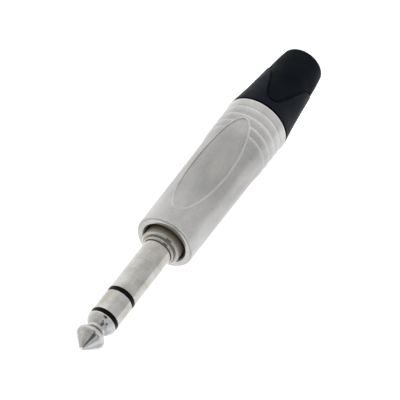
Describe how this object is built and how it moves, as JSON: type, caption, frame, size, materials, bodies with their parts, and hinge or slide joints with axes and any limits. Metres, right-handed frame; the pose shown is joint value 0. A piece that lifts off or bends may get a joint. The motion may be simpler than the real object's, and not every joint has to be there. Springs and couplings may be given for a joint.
{
  "type": "stereo jack plug",
  "caption": "Straight 6.35 mm stereo jack plug: turned tip, ring and sleeve contacts, satin die-cast shell with an oval panel, and a tapered screw-on cable boot.",
  "frame": {"origin": "centre of the boot's rear face, on which the plug stands", "axes": "+Z along the plug's axis towards the tip, and the shell's oval panel faces -Y"},
  "size_m": [0.0144, 0.0144, 0.094],
  "materials": {
    "turned_nickel": "polished",
    "satin_nickel": "satin",
    "tinned_sheet": "satin",
    "insulator": "satin",
    "chuck_acetal": "satin",
    "boot_polyamide": "satin",
    "boot_elastomer": "matte"
  },
  "bodies": {
    "root": {"tip_contact": "turned_nickel", "tip_washer": "insulator", "tip_tube": "insulator", "ring_contact": "turned_nickel", "ring_washer": "insulator", "ring_tube": "insulator", "sleeve_contact": "turned_nickel", "shell": "satin_nickel", "ground_terminal": "tinned_sheet", "terminal_block": "insulator", "ring_terminal": "tinned_sheet", "terminal_spacer": "insulator", "tip_terminal": "tinned_sheet"},
    "chuck": {"chuck": "chuck_acetal"},
    "boot": {"boot_nut": "boot_polyamide", "boot_gland": "boot_elastomer"}
  },
  "joints": [
    {"name": "chuck_travel", "type": "slide", "parent": "root", "child": "chuck", "axis": [0, 0, -1], "range_m": [0, 0.0065]},
    {"name": "boot_turn", "type": "hinge", "parent": "chuck", "child": "boot", "pos_m": [0, 0, 0.02], "axis": [0, 0, -1], "range_deg": [0, 2340]}
  ],
  "couplings": [
    {"joint": "boot_turn", "follows": "chuck_travel", "rad_per_m": 6283.2}
  ]
}
